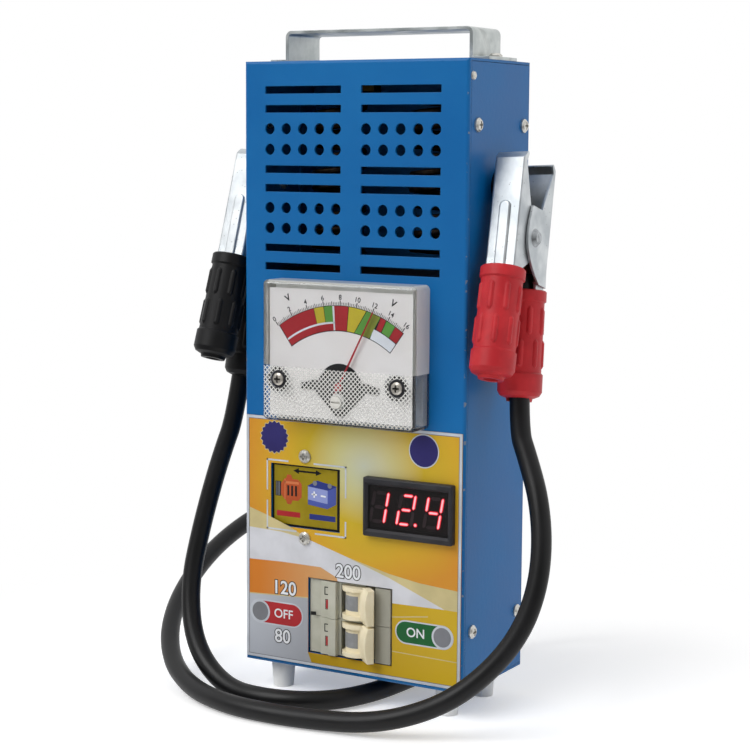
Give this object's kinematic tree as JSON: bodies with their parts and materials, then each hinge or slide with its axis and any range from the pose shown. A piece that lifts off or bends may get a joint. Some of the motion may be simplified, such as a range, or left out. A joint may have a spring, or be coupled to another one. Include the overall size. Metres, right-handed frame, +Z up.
{
  "type": "battery tester",
  "caption": "Upright sheet-metal battery load tester with a moving-coil meter, digital voltmeter, breaker toggles, carry handle and spring clamps parked on leads at its sides.",
  "frame": {"origin": "on the floor under the middle of the object without its leads", "axes": "+Z up, the front with the meter faces -Y, the red clamp is at +X"},
  "size_m": [0.2325, 0.1961, 0.3192],
  "materials": {
    "painted_blue": "semi-gloss powder coat",
    "bright_screws": "bright zinc plate",
    "zinc_strap": "zinc plated, worn",
    "white_rubber": "matte",
    "printed_film": "glossy printed film",
    "black_moulding": "matte",
    "clear_cover": "clear acrylic, lower part embossed",
    "printed_dial": "matte white with printed scale",
    "red_needle": "matte red",
    "white_moulding": "matte",
    "brass": "plain",
    "lit_red": "lit segments",
    "circuit_board": "solder mask",
    "printed_pane": "printed, lit from behind",
    "cream_moulding": "satin",
    "zinc_rail": "zinc plated",
    "resistance_wire": "oxidised",
    "insulating_board": "phenolic board",
    "chromed_steel": "nickel plated",
    "spring_steel": "plain",
    "copper_crimp": "plain",
    "red_sleeve": "soft PVC, satin",
    "black_sleeve": "soft PVC, satin",
    "black_lead_sheath": "smooth sheath"
  },
  "bodies": {
    "case": {"back_panel": "painted_blue", "back_panel_screws": "bright_screws", "black_cable_crimp": "copper_crimp", "black_jaw_spring": "spring_steel", "black_lead": "black_lead_sheath", "black_pivot_rivet": "chromed_steel", "black_rear_jaw": "chromed_steel", "black_rear_sleeve": "black_sleeve", "breaker_lower": "cream_moulding", "breaker_upper": "cream_moulding", "busbars": "brass", "carry_handle": "zinc_strap", "coil_terminals": "brass", "din_rail": "zinc_rail", "foot_screws": "bright_screws", "front_chassis": "painted_blue", "front_label": "printed_film", "handle_screws": "bright_screws", "insulating_ceiling": "insulating_board", "insulating_shelf": "insulating_board", "left_side_panel": "painted_blue", "legend_light_box": "white_moulding", "legend_screws": "bright_screws", "legend_window": "printed_pane", "lit_digits": "lit_red", "load_coil_left": "resistance_wire", "load_coil_right": "resistance_wire", "meter_cover": "clear_cover", "meter_dial": "printed_dial", "meter_dial_screws": "bright_screws", "meter_housing": "white_moulding", "meter_movement": "black_moulding", "meter_screw_collars": "black_moulding", "meter_terminals": "brass", "parking_studs": "black_moulding", "rail_screws": "bright_screws", "red_cable_crimp": "copper_crimp", "red_jaw_spring": "spring_steel", "red_lead": "black_lead_sheath", "red_pivot_rivet": "chromed_steel", "red_rear_jaw": "chromed_steel", "red_rear_sleeve": "red_sleeve", "right_side_panel": "painted_blue", "rubber_feet": "white_rubber", "seam_rivets": "bright_screws", "side_panel_screws": "bright_screws", "strain_reliefs": "black_sleeve", "stud_screws": "bright_screws", "voltmeter_bezel": "black_moulding", "voltmeter_board": "circuit_board", "voltmeter_display": "black_moulding", "voltmeter_pane": "clear_cover"},
    "red_squeezed_half": {"red_front_jaw": "chromed_steel", "red_front_sleeve": "red_sleeve"},
    "black_squeezed_half": {"black_front_jaw": "chromed_steel", "black_front_sleeve": "black_sleeve"},
    "upper_toggle": {"toggle_upper": "cream_moulding"},
    "lower_toggle": {"toggle_lower": "cream_moulding"},
    "needle": {"meter_needle": "red_needle"},
    "zero_adjuster": {"meter_zero_adjuster": "white_moulding"}
  },
  "joints": [
    {"name": "red_clamp_squeeze", "type": "hinge", "parent": "case", "child": "red_squeezed_half", "pos_m": [0.0727, -0.0075, 0.2235], "axis": [0.999, 0, 0.0436], "range_deg": [0, 6], "stiffness_Nm_per_rad": 3, "springref_deg": -20.05, "deforming": ["red_jaw_spring"]},
    {"name": "black_clamp_squeeze", "type": "hinge", "parent": "case", "child": "black_squeezed_half", "pos_m": [-0.0727, -0.0075, 0.2235], "axis": [0.999, 0, -0.0436], "range_deg": [0, 6], "stiffness_Nm_per_rad": 3, "springref_deg": -20.05, "deforming": ["black_jaw_spring"]},
    {"name": "upper_toggle_switch", "type": "hinge", "parent": "case", "child": "upper_toggle", "pos_m": [0.002, -0.0275, 0.0498], "axis": [0, 0, 1], "range_deg": [-83, 0]},
    {"name": "lower_toggle_switch", "type": "hinge", "parent": "case", "child": "lower_toggle", "pos_m": [0.002, -0.0275, 0.0318], "axis": [0, 0, 1], "range_deg": [-83, 0]},
    {"name": "needle_swing", "type": "hinge", "parent": "case", "child": "needle", "pos_m": [0, -0.0439, 0.1541], "axis": [0, 1, 0], "range_deg": [-77, 22], "stiffness_Nm_per_rad": 0.004},
    {"name": "zero_adjuster_turn", "type": "hinge", "parent": "case", "child": "zero_adjuster", "pos_m": [0, -0.0455, 0.1472], "axis": [0, 1, 0], "range_deg": [-30, 30]}
  ]
}
